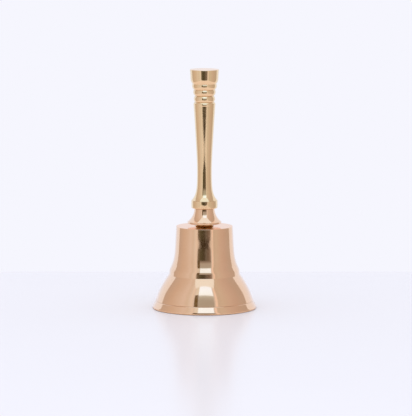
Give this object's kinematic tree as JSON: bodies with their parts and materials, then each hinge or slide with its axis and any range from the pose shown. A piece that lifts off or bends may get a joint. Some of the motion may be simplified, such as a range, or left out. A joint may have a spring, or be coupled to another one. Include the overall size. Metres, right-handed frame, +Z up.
{
  "type": "sanctus bell",
  "caption": "Hand-rung sanctus bell: a polished brass bell with a moulded band and flared lip, a turned handle on its crown and a free-swinging clapper inside.",
  "frame": {"origin": "centre of the mouth's plane, on the surface that the bell stands on", "axes": "+Z up along the bell's axis to the handle's head, +X across the front, +Y away from the front; the bell is round, so X and Y are told apart only by the clapper's eye, whose hole faces along Y"},
  "size_m": [0.0662, 0.0662, 0.1524],
  "materials": {
    "bell_brass": "mirror-polished cast brass",
    "handle_brass": "mirror-polished turned brass",
    "clapper_brass": "satin turned brass, a little tarnished",
    "plated_steel": "bright zinc-plated steel"
  },
  "bodies": {
    "bell": {"bell_shell": "bell_brass", "crown_spacer": "handle_brass", "handle_foot": "handle_brass", "collar_disc": "handle_brass", "handle_grip": "handle_brass", "handle_stud": "plated_steel", "inner_washer": "plated_steel", "clamp_nut": "plated_steel", "clapper_eye": "clapper_brass"},
    "link": {"link_ring": "clapper_brass"},
    "clapper": {"clapper_rod": "clapper_brass", "clapper_ball": "clapper_brass", "ball_nut": "plated_steel"}
  },
  "joints": [
    {"name": "link_swing", "type": "hinge", "parent": "bell", "child": "link", "pos_m": [0, 0, 0.0356], "axis": [1, 0, 0], "range_deg": [-20, 20]},
    {"name": "clapper_swing", "type": "hinge", "parent": "link", "child": "clapper", "pos_m": [0, 0, 0.03127], "axis": [0, 1, 0], "range_deg": [-40, 40]}
  ]
}
